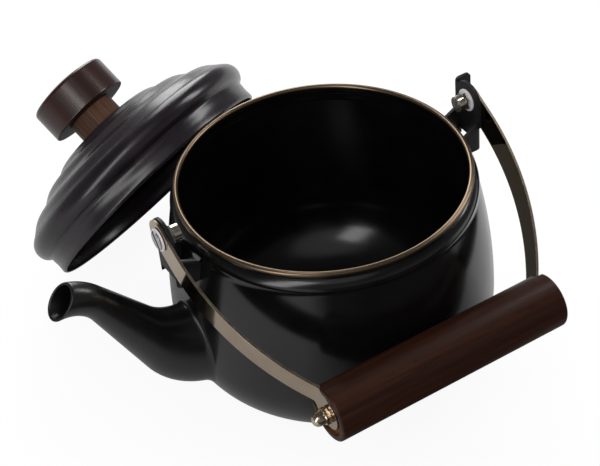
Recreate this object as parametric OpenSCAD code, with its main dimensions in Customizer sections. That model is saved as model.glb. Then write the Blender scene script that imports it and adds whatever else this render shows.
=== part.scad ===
// Enamel teapot with a wide mouth, an S-curved spout, a bail handle folded down over the belly
// and a lift-off lid that stands on its skirt and leans against the rim.
// Millimetres. +Z is up, the spout points along -X and the handle swings about X.
// The origin is the middle of the base, on the surface that the pot stands on.

/* [Pot] */
// Height of the rim, at the middle of its bead
rim_z = 110; // [104:1:120]
// Radius of the mouth, at the middle of its lip
rim_r = 70; // [68:0.5:74]
// Largest radius of the belly
belly_r = 80.2; // [78.5:0.1:82]
// Height of the widest part of the belly
belly_z = 40; // [36:1:46]
// Radius of the flat base
base_r = 40; // [36:1:46]
// Thickness of the enamelled steel sheet
sheet_t = 1.2; // [0.9:0.1:1.6]
// Height of the collar, from the crease under it to the rim
collar_h = 9.4; // [8:0.2:12]
// Radius of the crease under the collar
crease_r = 73.4; // [72.4:0.1:74.4]
// How far the collar swells between the crease and the lip
collar_swell = 1.3; // [0.8:0.1:1.8]
// Height of the straight lip that the rim band grips
lip_h = 2.6; // [2.2:0.1:3.2]
// Radius of the rim band's bead
bead_r = 1.55; // [1.4:0.05:2]

/* [Spout] */
// Height of the middle of the spout's oval root on the belly
root_z = 45.5; // [44:0.5:48]
// Half the height of the oval root
root_rise = 23; // [21.5:0.5:24]
// Half the width of the oval root
root_side = 16.6; // [15:0.2:18]
// Slope at which the upper line leaves the belly, in degrees
upper_start = 5; // [0:1:12]
// Bend radius of the upper line above the root
upper_root_bend = 26.3; // [23:0.1:30]
// Slope of the upper line's straight run, in degrees
upper_slope = 49; // [46:0.5:52]
// Length of the upper line's straight run
upper_run = 34; // [31:0.5:37]
// Bend radius of the upper line towards the mouth
upper_lip_bend = 33.7; // [30:0.1:37]
// Slope of the upper line at the mouth, in degrees
upper_end = 20.5; // [16:0.5:25]
// Slope at which the lower line leaves the belly, in degrees
lower_start = 14; // [9:1:18]
// Bend radius of the lower line below the root
lower_root_bend = 44.6; // [41:0.1:48]
// Slope of the lower line's straight run, in degrees
lower_slope = 63.3; // [61:0.1:66]
// Length of the lower line's straight run
lower_run = 47.7; // [44:0.1:51]
// Bend radius of the lower line towards the lip
lower_lip_bend = 18.6; // [17:0.1:21]
// Slope of the lower line at the lip, in degrees
lower_end = -4.5; // [-8:0.5:0]
// Half the width of the tube where its straight run begins
knee_side = 12.5; // [11.5:0.1:13.5]
// Half the width of the tube at its narrowest
throat_side = 7.5; // [7:0.1:8]
// Half the width of the tube at its mouth
mouth_side = 8; // [7.5:0.1:8.6]
// Radius of the opening from the pot into the spout
passage_r = 12; // [9:0.5:14]

/* [Ears] */
// Distance from the pot's axis to the middle of each ear's plate
ear_x = 84.8; // [84:0.2:87]
// Height of the handle's pivot
pivot_z = 115.3; // [113:0.1:118]
// Thickness of the ears' sheet
ear_t = 1.6; // [1.2:0.1:2]
// Height of the ears' lower edge
ear_foot_z = 90.5; // [88:0.5:93]
// Height of the plates' lower edge between the flaps
web_foot_z = 94.5; // [93:0.5:98]
// Depth of the flaps below the pivot, where they leave the plate
flap_drop = 9.5; // [8:0.5:11]
// Downward slope of the flaps' upper edges, in degrees
flap_slope = 28; // [20:1:34]
// Outside radius of the folds
fold_r = 2.6; // [2.2:0.1:3.2]
// Corner radius of the plates and flaps
ear_corner = 2; // [1:0.2:3]
// How far the stop stands out from the rear ear
stop_out = 6.6; // [5.6:0.2:7]
// Height of the stop above the pivot
stop_rise = 8; // [7:0.2:9]
// Length of the stop along its fold
stop_len = 17; // [14:1:20]
// Angle past upright at which the handle meets the stop
stop_angle = 3; // [2:0.5:6]

/* [Pivots] */
// Diameter of the pivot bolts
bolt_d = 5; // [4:0.5:5.5]
// Diameter of the bolt heads
head_d = 9.4; // [8:0.2:10]
// Height of the bolt heads
head_h = 0.8; // [0.7:0.1:2.4]
// Width of the screwdriver slot
slot_w = 1.3; // [1:0.1:1.6]
// Depth of the screwdriver slot
slot_depth = 0.5; // [0.3:0.1:0.6]
// Turn of the screwdriver slot from upright, in degrees
slot_turn = 36; // [0:1:90]
// Diameter of the nylon washers
washer_d = 11.5; // [10:0.5:13]
// Thickness of the nylon washers
washer_t = 0.8; // [0.6:0.1:1.2]
// Width of the lock nuts across their flats
nut_flats = 8; // [7.5:0.1:9]
// Length of the lock nuts' hexagon
nut_hex = 2.2; // [1.8:0.2:5]
// Length of the lock nuts' round collar
nut_collar = 3.6; // [1.6:0.2:4.4]

/* [Handle] */
// Angle from upright at which the handle rests, folded down
fold_angle = 119; // [117:0.5:121]
// Width of the straps
strap_w = 15; // [14.5:0.1:16]
// Thickness of the straps
strap_t = 1.3; // [1.1:0.1:2]
// How much further the front strap reaches behind its pivot
front_tail = 2; // [0:0.5:3]
// Length of strap beyond the pivot before it starts to arch
strap_straight = 12; // [10:1:16]
// Radius of the bend where the strap meets the grip
strap_bend_r = 4; // [3:0.5:6]
// Width of the strap's end tab, inside the grip
tab_w = 11; // [9:0.5:12]
// Length of the grip
grip_len = 124; // [120:0.5:134]
// Radius of the grip
grip_r = 13.4; // [13:0.1:15]
// Radius of the recess in each end of the grip
recess_r = 10.4; // [9.6:0.1:11]
// Depth of the recess in each end of the grip
recess_depth = 3; // [2.6:0.1:4]
// Rounding of the grip's end edges
grip_edge = 1.4; // [0.8:0.1:2]
// Diameter of the rod through the grip
rod_d = 4; // [3:0.5:5]
// Width of the cap nuts across their flats
cap_flats = 7; // [6.5:0.1:8]
// Height of the cap nuts' hexagon
cap_hex = 3; // [2.4:0.1:3.6]

/* [Lid] */
// Outside radius of the skirt that goes into the mouth
skirt_r = 67.6; // [66:0.1:67.8]
// Height of the skirt, up to the roll
skirt_h = 9; // [7:0.5:10]
// Outside radius of the roll that sits on the rim
roll_r = 71.6; // [70.6:0.1:72.4]
// Height of the middle of the roll above the skirt's edge
roll_h = 16.7; // [15.8:0.1:17.5]
// Radius of the roll's upper shoulder
shoulder_r = 7; // [6.6:0.1:7.6]
// Height of the crown above the skirt's edge
crown_h = 44.4; // [43.6:0.1:45.2]
// Fall of the dome from its crown to the outermost ridge
dome_fall = 16.7; // [16:0.1:17.4]
// Radius of the outermost ridge
ridge_r = 61; // [60:0.5:62]
// Spacing of the three ridges
ridge_step = 14.7; // [14.2:0.1:15.4]
// Half the height of the ridges
ridge_h = 0.7; // [0.3:0.05:0.9]
// Thickness of the lid's sheet
lid_t = 1; // [0.8:0.1:1.3]
// Angle of the lid's axis above level, as it leans
lean = 36; // [35:0.2:38]
// Direction in which the lid stands, in degrees from +X towards +Y
lid_turn = 111; // [104:0.2:130]

/* [Knob] */
// Radius of the knob's neck
neck_r = 13.1; // [11:0.1:14]
// Length of the knob's neck
neck_len = 10.4; // [8:0.1:12]
// Radius of the knob
knob_r = 22.7; // [20:0.1:26]
// Thickness of the knob, without its crown
knob_t = 18; // [15:0.5:22]
// Height of the knob's crown
knob_crown = 2.6; // [1.6:0.1:3.4]
// Rounding of the knob's upper edge
knob_edge = 2; // [1:0.1:2.6]
// Rounding of the knob's lower edge
knob_low_edge = 0.6; // [0.4:0.1:1.4]
// Diameter of the knob's screw
screw_d = 4; // [3:0.5:5]
// Radius of the washer under the lid
screw_washer_r = 7; // [6:0.5:9]

/* [Fits] */
// Gap round a piece that is fixed in another
seat_gap = 0.1; // [0.05:0.05:0.15]
// Gap round a bolt that a strap turns on
turn_gap = 0.08; // [0.05:0.01:0.1]
// Gap beside a strap where it passes the ear and the washer
side_gap = 0.25; // [0.2:0.05:0.4]
// Gap between pieces that only rest against each other
rest_gap = 0.3; // [0.2:0.05:0.5]

/* [Hidden] */
$fn = 96;
enamel = "#1b1a1c";
brass = "#a8895f";
strap_tone = "#8f816d";
steel = "#c9c4b4";
nylon = "#dcd9dc";
dark_wood = "#3a221b";
neck_wood = "#56392b";
// Steps in a quarter of a drawn curve
steps = 10;
// Longer than anything that a cut has to pass through
through = 400;
front = -1;
rear = 1;

// Pot: the outside radius at any height below the crease
crease_z = rim_z - collar_h;
lip_z = rim_z - lip_h;
lip_top = rim_z + sheet_t / 2;
function belly_at(z) = z < belly_z
    ? base_r + (belly_r - base_r) * sqrt(1 - pow((belly_z - z) / belly_z, 2))
    : belly_r - (belly_r - crease_r) * pow((z - belly_z) / (crease_z - belly_z), 2);

// A shallow curve from a to b that swells by sag to the right of its way
function bow(a, b, sag) = [
    for (i = [0 : steps])
        let (s = i / steps, d = b - a, side = [d[1], -d[0]] / norm(d))
        a + d * s + side * sag * 4 * s * (1 - s)
];

// One skin of the pot, from the base up to the lip, set in from the outside by d
function pot_skin(d) = concat(
    [[0, d]],
    [for (i = [0 : steps])
        let (a = 90 * i / steps)
        [base_r + (belly_r - d - base_r) * sin(a), belly_z - (belly_z - d) * cos(a)]],
    [for (i = [1 : steps])
        let (z = belly_z + (crease_z - belly_z) * i / steps)
        [belly_at(z) - d, z]],
    bow([crease_r - d, crease_z + sheet_t / 4], [rim_r + sheet_t / 2 - d, lip_z], collar_swell)
);

// Ears: the stop stands clear of the strap until the handle is past upright
bolt_r = bolt_d / 2;
washer_r = washer_d / 2;
stop_y = strap_w / 2 * cos(stop_angle)
    + (stop_rise + strap_w / 2 * sin(stop_angle)) * tan(stop_angle) + rest_gap / 2;
ear_half = stop_y + ear_t;
ear_out = ear_x + ear_t / 2;
ear_in = ear_x - ear_t / 2;

// Handle: how far the grip hangs from the pivot so that it rests on the belly
function hang(len, turns) = turns == 0 ? len : hang(
    (belly_at(pivot_z + len * cos(fold_angle)) + grip_r + rest_gap) / sin(fold_angle), turns - 1);
bail_len = hang((belly_r + grip_r) / sin(fold_angle), 6);
strap_x = ear_out + side_gap + strap_t / 2;
tab_x = grip_len / 2 - recess_depth + strap_t / 2;
tab_start = bail_len - recess_r + 1;
arch_turn = 2 * atan((strap_x - tab_x) / (tab_start - strap_straight));
arch_r = (tab_start - strap_straight) / sin(arch_turn) - strap_bend_r;
shoulder_z = bail_len - grip_r - rest_gap;
rod_r = rod_d / 2;
cap_r = cap_flats / 2;

// Pivot stack, outwards from the ear
head_x = strap_x + strap_t / 2 + side_gap + washer_t;
nut_x = ear_in - washer_t;
nut_end = nut_x - nut_hex - nut_collar;

// Lid: height of the dome at any radius, and where the lid stands
roll_mid = roll_r - shoulder_r;
ridge_end = ridge_r - 2.5 * ridge_step;
shoulder_turn = 60;
dome_edge = roll_mid + (shoulder_r + lid_t) * cos(shoulder_turn) - lid_t / 2;
function dome(r) = crown_h - dome_fall * pow(r / ridge_r, 2)
    + (r > ridge_end ? ridge_h * cos(360 * (r - ridge_r) / ridge_step) : 0);
seat_r = neck_r + 1.5;
seat_h = dome(seat_r);
lid_away = rim_r + bead_r + rest_gap + skirt_r * sin(lean);
screw_r = screw_d / 2;
disc_h = seat_h + neck_len;
head_drop = 2.4;

// One skin of the lid, from the skirt's edge up to the crown, set in from the outside by d
function lid_skin(d) = concat(
    [[skirt_r - d, 0]],
    [for (i = [0 : steps])
        let (a = 90 - 90 * i / steps)
        [skirt_r - d + (roll_r - skirt_r) * cos(a), roll_h - (roll_h - skirt_h - d) * sin(a)]],
    [for (i = [1 : steps])
        let (a = shoulder_turn * i / steps)
        [roll_mid + (shoulder_r - d) * cos(a), roll_h + (shoulder_r - d) * sin(a)]],
    [for (i = [0 : 4 * steps])
        let (r = dome_edge + (seat_r - dome_edge) * i / (4 * steps))
        [r, dome(r) - d]],
    [[0, seat_h - d]]
);

function flip(list) = [for (i = [len(list) - 1 : -1 : 0]) list[i]];

// A quarter round of radius r about the point c, from the angle a0 to a1
function round_corner(c, r, a0, a1) = [
    for (i = [0 : steps / 2])
        let (a = a0 + (a1 - a0) * i / (steps / 2))
        c + r * [cos(a), sin(a)]
];

// A flat outline from corner to corner with every corner rounded by r
function rounded(lo, hi, r) = concat(
    round_corner([hi[0] - r, lo[1] + r], r, -90, 0),
    round_corner([hi[0] - r, hi[1] - r], r, 0, 90),
    round_corner([lo[0] + r, hi[1] - r], r, 90, 180),
    round_corner([lo[0] + r, lo[1] + r], r, 180, 270)
);

// Pot
module pot_outside(grow) {
    rotate_extrude()
        polygon(concat([[0, 0]], [for (p = pot_skin(0)) p + [grow, 0]], [[0, lip_z]]));
}

module pot_body() {
    color(enamel) difference() {
        rotate_extrude()
            polygon(concat(
                pot_skin(0),
                [[rim_r + sheet_t / 2, lip_top], [rim_r - sheet_t / 2, lip_top]],
                flip(pot_skin(sheet_t))
            ));
        translate([-belly_r, 0, root_z])
            rotate([0, 90, 0])
                cylinder(r = passage_r, h = belly_r / 2, center = true);
    }
}

module rim_band() {
    color(brass) rotate_extrude()
        difference() {
            translate([rim_r, rim_z])
                circle(r = bead_r);
            translate([rim_r - sheet_t / 2 - seat_gap, rim_z - 2 * bead_r])
                square([sheet_t + 2 * seat_gap, 2 * bead_r + sheet_t / 2 + seat_gap]);
        }
}

// Spout: an upper and a lower line, each a bend, a straight run and a bend back, carry oval rings
spout_sides = 28;
bend_rings = 12;
run_rings = 6;
lip_rings = 10;
spout_rings = bend_rings + run_rings + lip_rings;
function heading(a) = [-cos(a), sin(a)];
function bend(r, a0, a1) = r * [sin(a0) - sin(a1), cos(a0) - cos(a1)];
function line_at(k, from, start, r0, slope, run, r1, end) =
    let (knee = from + bend(r0, start, slope), throat = knee + run * heading(slope))
    k <= bend_rings ? from + bend(r0, start, start + (slope - start) * k / bend_rings)
    : k <= bend_rings + run_rings ? knee + run * (k - bend_rings) / run_rings * heading(slope)
    : throat - bend(r1, slope, slope + (end - slope) * (k - bend_rings - run_rings) / lip_rings);
function on_belly(z) = [-belly_at(z) - seat_gap, z];
function upper_at(k) = line_at(k, on_belly(root_z + root_rise), upper_start, upper_root_bend,
    upper_slope, upper_run, upper_lip_bend, upper_end);
function lower_at(k) = line_at(k, on_belly(root_z - root_rise), lower_start, lower_root_bend,
    lower_slope, lower_run, lower_lip_bend, lower_end);
function side_at(k) =
    k <= bend_rings ? root_side + (knee_side - root_side) * k / bend_rings
    : k <= bend_rings + run_rings ? knee_side + (throat_side - knee_side) * (k - bend_rings) / run_rings
    : throat_side + (mouth_side - throat_side) * (k - bend_rings - run_rings) / lip_rings;

// One ring, set in by d; the first rings fade from the belly's round surface to flat ovals
function spout_point(k, turn, d) =
    let (top = upper_at(k), low = lower_at(k), mid = (top + low) / 2, half = (top - low) / 2,
        flat = mid + half * (1 - d / norm(half)) * cos(turn))
    [flat[0], (side_at(k) - d) * sin(turn), flat[1]];
function spout_ring(k, d) = [
    for (j = [0 : spout_sides - 1])
        let (turn = 360 * j / spout_sides, root = spout_point(0, turn, d),
            seat = -sqrt(pow(belly_at(root[2]), 2) - pow(root[1], 2)) - seat_gap - root[0])
        spout_point(k, turn, d) + [seat * max(0, 1 - k / bend_rings), 0, 0]
];
spout_points = concat(
    [for (k = [0 : spout_rings]) each spout_ring(k, 0)],
    [for (k = [0 : spout_rings]) each spout_ring(k, sheet_t)]
);
inner = (spout_rings + 1) * spout_sides;
function next(j) = (j + 1) % spout_sides;
function skin_faces(a, b, j, out) = let (p = a + j, q = a + next(j), r = b + next(j), t = b + j)
    out ? [[p, q, r], [p, r, t]] : [[p, r, q], [p, t, r]];

module spout() {
    last = spout_rings * spout_sides;
    color(enamel) polyhedron(
        points = spout_points,
        faces = [for (j = [0 : spout_sides - 1]) each concat(
            [for (k = [0 : spout_rings - 1]) each skin_faces(k * spout_sides, (k + 1) * spout_sides, j, true)],
            [for (k = [0 : spout_rings - 1])
                each skin_faces(inner + k * spout_sides, inner + (k + 1) * spout_sides, j, false)],
            skin_faces(0, inner, j, false),
            skin_faces(last, inner + last, j, true)
        )]
    );
}

// Ears: a flat plate above, and below it a channel whose flaps slope down to the pot
function fold_path(d) = let (y = ear_half - d, x = ear_out - d, r = fold_r - d) concat(
    [[rim_r - fold_r, -y]],
    round_corner([x - r, r - y], r, -90, 0),
    round_corner([x - r, y - r], r, 0, 90),
    [[rim_r - fold_r, y]]
);

module ear_channel() {
    flap_top = pivot_z - flap_drop;
    difference() {
        translate([0, 0, ear_foot_z])
            linear_extrude(flap_top - ear_foot_z)
                polygon(concat(fold_path(0), flip(fold_path(ear_t))));
        rotate([90, 0, 0])
            linear_extrude(4 * ear_half, center = true)
                polygon([
                    [ear_in - fold_r + ear_t, flap_top],
                    [ear_in - fold_r + ear_t, flap_top + ear_half],
                    [0, flap_top + ear_half],
                    [0, flap_top - ear_in * tan(flap_slope)]
                ]);
    }
}

module ear_plate() {
    translate([ear_in, 0, 0])
        rotate([90, 0, 90])
            linear_extrude(ear_t)
                union() {
                    translate([-ear_half, pivot_z - flap_drop - fold_r])
                        square([2 * ear_half, flap_drop + fold_r]);
                    translate([0, pivot_z])
                        circle(r = ear_half);
                }
}

module ear() {
    difference() {
        union() {
            ear_plate();
            ear_channel();
        }
        pot_outside(seat_gap);
        bolt_hole(seat_gap);
        translate([ear_in - ear_t, fold_r - ear_half, web_foot_z - through])
            cube([3 * ear_t, 2 * (ear_half - fold_r), through]);
    }
}

module stop() {
    top = pivot_z + stop_rise;
    translate([0, stop_y + ear_t, 0])
        rotate([90, 0, 0])
            linear_extrude(ear_t)
                polygon(rounded([ear_in, top - stop_len], [ear_out + stop_out, top], ear_corner));
}

module bolt_hole(gap) {
    translate([0, 0, pivot_z])
        rotate([0, 90, 0])
            cylinder(r = bolt_r + gap, h = through);
}

// Turns a piece made for the rear end into the front one
module at_end(end) {
    mirror([end == front ? 1 : 0, 0, 0])
        children();
}

module front_ear() {
    color(enamel) at_end(front) ear();
}

module rear_ear() {
    color(enamel) at_end(rear) union() {
        ear();
        stop();
    }
}

// Pivots: each piece lies along X at the pivot's height, from x outwards
module along_pivot(x) {
    translate([x, 0, pivot_z])
        rotate([0, 90, 0])
            children();
}

module pivot_bolt() {
    color(steel) difference() {
        union() {
            along_pivot(head_x)
                cylinder(d = head_d, h = head_h);
            along_pivot(nut_end)
                cylinder(r = bolt_r, h = head_x - nut_end);
        }
        along_pivot(head_x + head_h - slot_depth)
            rotate([0, 0, -slot_turn])
                translate([-head_d, -slot_w / 2, 0])
                    cube([2 * head_d, slot_w, 2 * slot_depth]);
    }
}

module pivot_washer(x) {
    color(nylon) along_pivot(x)
        difference() {
            cylinder(r = washer_r, h = washer_t);
            translate([0, 0, -washer_t])
                cylinder(r = bolt_r + seat_gap, h = 3 * washer_t);
        }
}

module lock_nut() {
    color(steel) along_pivot(nut_end)
        difference() {
            union() {
                cylinder(d = nut_flats - seat_gap, h = nut_collar + nut_hex / 2);
                translate([0, 0, nut_collar])
                    cylinder(d = nut_flats / cos(30), h = nut_hex, $fn = 6);
            }
            translate([0, 0, -nut_hex])
                cylinder(r = bolt_r + seat_gap, h = 4 * nut_hex);
        }
}

module front_pivot_bolt() { at_end(front) pivot_bolt(); }
module rear_pivot_bolt() { at_end(rear) pivot_bolt(); }
module front_outer_washer() { at_end(front) pivot_washer(head_x - washer_t); }
module rear_outer_washer() { at_end(rear) pivot_washer(head_x - washer_t); }
module front_inner_washer() { at_end(front) pivot_washer(nut_x); }
module rear_inner_washer() { at_end(rear) pivot_washer(nut_x); }
module front_lock_nut() { at_end(front) lock_nut(); }
module rear_lock_nut() { at_end(rear) lock_nut(); }

// Handle: drawn upright above the pivot, then folded down
module folded() {
    translate([0, 0, pivot_z])
        rotate([fold_angle, 0, 0])
            children();
}

// One edge of the strap, d outwards from its middle line
function strap_edge(d) = concat(
    [[strap_x + d, -strap_w]],
    [for (i = [0 : 2 * steps])
        let (a = arch_turn * i / (2 * steps))
        [strap_x - arch_r + (arch_r + d) * cos(a), strap_straight + (arch_r + d) * sin(a)]],
    [for (i = [0 : steps / 2])
        let (a = arch_turn * (1 - 2 * i / steps))
        [tab_x + strap_bend_r - (strap_bend_r - d) * cos(a), tab_start - (strap_bend_r - d) * sin(a)]],
    [[tab_x + d, bail_len + tab_w]]
);

module strap_outline(tail) {
    translate([0, -tail])
        circle(d = strap_w);
    translate([-strap_w / 2, -tail])
        square([strap_w, shoulder_z + tail]);
    translate([-tab_w / 2, 0])
        square([tab_w, bail_len]);
    translate([0, bail_len])
        circle(d = tab_w);
}

module strap(tail) {
    color(strap_tone) difference() {
        intersection() {
            rotate([90, 0, 0])
                linear_extrude(2 * strap_w, center = true)
                    polygon(concat(strap_edge(strap_t / 2), flip(strap_edge(-strap_t / 2))));
            rotate([90, 0, 90])
                linear_extrude(through)
                    strap_outline(tail);
        }
        rotate([0, 90, 0])
            cylinder(r = bolt_r + turn_gap, h = through);
        translate([0, 0, bail_len])
            rotate([0, 90, 0])
                cylinder(r = rod_r + seat_gap, h = through);
    }
}

module front_strap() { folded() at_end(front) strap(front_tail); }
module rear_strap() { folded() at_end(rear) strap(0); }

module along_grip() {
    folded() translate([0, 0, bail_len])
        rotate([0, 90, 0])
            children();
}

module grip() {
    half = grip_len / 2;
    floor_x = half - recess_depth;
    end_profile = concat(
        [[rod_r + seat_gap, floor_x], [recess_r, floor_x], [recess_r, half]],
        flip(round_corner([grip_r - grip_edge, half - grip_edge], grip_edge, 0, 90))
    );
    color(dark_wood) difference() {
        along_grip() rotate_extrude()
            polygon(concat(end_profile, [for (p = flip(end_profile)) [p[0], -p[1]]]));
        folded() for (end = [front, rear])
            at_end(end)
                translate([floor_x, -tab_w / 2 - rest_gap, bail_len - 2 * grip_r])
                    cube([grip_len, tab_w + 2 * rest_gap, 2 * grip_r - recess_r / 2]);
    }
}

module grip_rod() {
    reach = tab_x + strap_t / 2 + cap_hex;
    color(steel) along_grip()
        cylinder(r = rod_r, h = 2 * reach, center = true);
}

module cap_nut() {
    color(brass) translate([tab_x + strap_t / 2, 0, bail_len])
        rotate([0, 90, 0])
            difference() {
                union() {
                    cylinder(d = cap_flats / cos(30), h = cap_hex, $fn = 6);
                    translate([0, 0, cap_hex])
                        intersection() {
                            sphere(r = cap_r - seat_gap);
                            cylinder(r = cap_flats, h = cap_flats);
                        }
                }
                translate([0, 0, -cap_hex])
                    cylinder(r = rod_r + seat_gap, h = 2 * cap_hex + seat_gap);
            }
}

module front_cap_nut() { folded() at_end(front) cap_nut(); }
module rear_cap_nut() { folded() at_end(rear) cap_nut(); }

// Lid: drawn level, then stood on its skirt and leaned against the rim
module leaning() {
    rotate([0, 0, lid_turn])
        translate([lid_away, 0, skirt_r * cos(lean)])
            rotate([0, 90 - lean, 0])
                children();
}

module lid_shell() {
    color(enamel) leaning() difference() {
        rotate_extrude()
            polygon(concat(lid_skin(0), flip(lid_skin(lid_t))));
        translate([0, 0, seat_h])
            cylinder(r = screw_r + seat_gap, h = 4 * lid_t, center = true);
    }
}

module knob_washer() {
    color(steel) leaning() translate([0, 0, seat_h - 2 * lid_t])
        difference() {
            cylinder(r = screw_washer_r, h = lid_t);
            translate([0, 0, -lid_t])
                cylinder(r = screw_r + seat_gap, h = 3 * lid_t);
        }
}

module knob_screw() {
    color(steel) leaning() translate([0, 0, seat_h - 2 * lid_t]) {
        translate([0, 0, -head_drop])
            difference() {
                cylinder(r = 2 * screw_r, h = head_drop);
                translate([-2 * screw_d, -slot_w / 2, -slot_depth])
                    cube([4 * screw_d, slot_w, 2 * slot_depth]);
            }
        cylinder(r = screw_r, h = 2 * lid_t + neck_len + knob_t / 2);
    }
}

module knob_neck() {
    color(neck_wood) leaning() translate([0, 0, seat_h])
        difference() {
            cylinder(r = neck_r, h = neck_len);
            translate([0, 0, -neck_len])
                cylinder(r = screw_r + seat_gap, h = 3 * neck_len);
        }
}

module knob_disc() {
    color(dark_wood) leaning() translate([0, 0, disc_h])
        rotate_extrude()
            polygon(concat(
                [[screw_r + seat_gap, 0]],
                round_corner([knob_r - knob_low_edge, knob_low_edge], knob_low_edge, -90, 0),
                round_corner([knob_r - knob_edge, knob_t - knob_edge], knob_edge, 0, 65),
                bow([knob_r - knob_edge, knob_t], [0, knob_t + knob_crown], 0.8),
                [[0, knob_t / 2 + seat_gap], [screw_r + seat_gap, knob_t / 2 + seat_gap]]
            ));
}

pot_body();
rim_band();
spout();
front_ear();
rear_ear();
front_pivot_bolt();
rear_pivot_bolt();
front_outer_washer();
rear_outer_washer();
front_inner_washer();
rear_inner_washer();
front_lock_nut();
rear_lock_nut();
front_strap();
rear_strap();
grip();
grip_rod();
front_cap_nut();
rear_cap_nut();
lid_shell();
knob_washer();
knob_screw();
knob_neck();
knob_disc();
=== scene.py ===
"""An enamel teapot with a folding bail handle and its lid taken off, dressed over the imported
solids. Lengths in the script are millimetres unless a name or comment says metres."""
from math import atan, cos, exp, hypot, pi, radians, sin, sqrt, tan

import bmesh
import bpy
from mathutils import Matrix, Vector


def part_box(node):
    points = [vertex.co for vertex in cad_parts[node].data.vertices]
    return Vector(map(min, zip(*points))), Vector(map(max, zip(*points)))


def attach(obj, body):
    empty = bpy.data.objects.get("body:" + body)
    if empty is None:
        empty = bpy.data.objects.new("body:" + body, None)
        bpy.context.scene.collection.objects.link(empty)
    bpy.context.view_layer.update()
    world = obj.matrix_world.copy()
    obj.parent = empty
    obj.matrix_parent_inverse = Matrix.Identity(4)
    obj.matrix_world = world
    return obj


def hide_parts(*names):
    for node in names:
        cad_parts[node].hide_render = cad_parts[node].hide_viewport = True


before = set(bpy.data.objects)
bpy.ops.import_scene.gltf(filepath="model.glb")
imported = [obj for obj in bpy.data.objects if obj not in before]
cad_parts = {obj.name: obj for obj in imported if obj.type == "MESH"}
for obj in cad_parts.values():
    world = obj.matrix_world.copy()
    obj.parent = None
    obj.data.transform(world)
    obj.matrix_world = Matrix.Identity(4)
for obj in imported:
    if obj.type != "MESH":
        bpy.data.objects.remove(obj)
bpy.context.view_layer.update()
MM = 0.001

# Pot
RIM_Z, RIM_R, BELLY_R, BELLY_Z, BASE_R, SHEET = 110, 70, 80.2, 40, 40, 1.2
COLLAR_H, CREASE_R, COLLAR_SWELL, LIP_H, BEAD_R = 9.4, 73.4, 1.3, 2.6, 1.55
CREASE_Z, LIP_Z, LIP_TOP = RIM_Z - COLLAR_H, RIM_Z - LIP_H, RIM_Z + SHEET / 2
CREASE_RUN, BEAD_TRIM = 1.5, 0.15
SEAM_AT, SEAM_WIDE, SEAM_DEEP = 62, 13, 0.16
SEAT_GAP, REST_GAP, SIDE_GAP = 0.1, 0.3, 0.25

# Spout: each line is start angle, root bend, slope, run, lip bend, end angle
ROOT_Z, ROOT_RISE, PASSAGE_R, PASSAGE_X, PASSAGE_LEN = 45.5, 23, 12, -80, 30
UPPER_LINE = (5, 26.3, 49, 34, 33.7, 20.5)
LOWER_LINE = (14, 44.6, 63.3, 47.7, 18.6, -4.5)
SIDES = (16.6, 12.5, 7.5, 8)
FILLET_SINK = 0.05

# Pivots and handle
EAR_OUT, EAR_T, PIVOT_Z, WASHER_D, WASHER_T, BOLT_D = 85.6, 1.6, 115.3, 11.5, 0.8, 5
SLOT_SKIN, SLOT_DEPTH, SLOT_REACH = 0.01, 0.6, 4.4
FOLD, STRAP_W, STRAP_T, STRAP_STRAIGHT, STRAP_BEND_R, FRONT_TAIL = 119, 15, 1.3, 12, 4, 2
STRAP_EASE = 0.08
GRIP_LEN, GRIP_R, RECESS_R, RECESS_DEPTH, GRIP_EDGE, ROD_D = 124, 13.4, 10.4, 3, 1.2, 4
GRIP_SHIFT, RECESS_EASE, RECESS_FILLET = 1.2, 0.5, 0.05
CAP_FLATS, CAP_HEX, CAP_R, CAP_LEN = 7.4, 3, 3.3, 8.2
CAP_FACE_R, CAP_CORNER_R, CAP_CHAMFER = 3.65, 4.3, 0.4

# Lid and knob
SKIRT_R, SKIRT_H, ROLL_R, ROLL_H, SHOULDER_R = 67.6, 11, 71.6, 16.7, 7
CROWN_H, DOME_FALL, RIDGE_R, RIDGE_STEP, RIDGE_H, LID_T = 44.4, 16.7, 61, 14.7, 0.7, 1
CURL_R, CURL_END, SKIRT_HOLLOW, HOLLOW_RUN = 1.6, -60, 0.22, 1.7
ROLL_TURN, SHOULDER_TURN, RIDGE_RUN, LEDGE = 70, 60, 2.5, 1.5
LEAN, LID_TURN, SCREW_D = 36, 111, 4
NECK_R, NECK_LEN, KNOB_R, KNOB_T, KNOB_CROWN = 13.1, 10.4, 22.7, 18, 2.6
KNOB_EDGE, KNOB_LOW_EDGE, KNOB_EDGE_TURN, KNOB_SWELL = 2, 0.6, 65, 0.8

# Meshes: points this close to a soft edge keep the flat beside it flat, an edge is crisp past an
# angle in degrees, and points closer than MERGE metres become one
FLAT_HOLD, EDGE_HOLD, GRIP_HOLD, CRISP, MERGE = 0.03, 0.3, 0.5, 32, 1e-6


def belly_at(z):
    """Outside radius of the pot at height z."""
    if z < BELLY_Z:
        return BASE_R + (BELLY_R - BASE_R) * sqrt(1 - ((BELLY_Z - z) / BELLY_Z) ** 2)
    return BELLY_R - (BELLY_R - CREASE_R) * ((z - BELLY_Z) / (CREASE_Z - BELLY_Z)) ** 2


# the bail's length, at which the folded grip lies just clear of the belly
BAIL = (BELLY_R + GRIP_R) / sin(radians(FOLD))
for _ in range(6):
    BAIL = (belly_at(PIVOT_Z + BAIL * cos(radians(FOLD))) + GRIP_R + REST_GAP) / sin(radians(FOLD))

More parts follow.
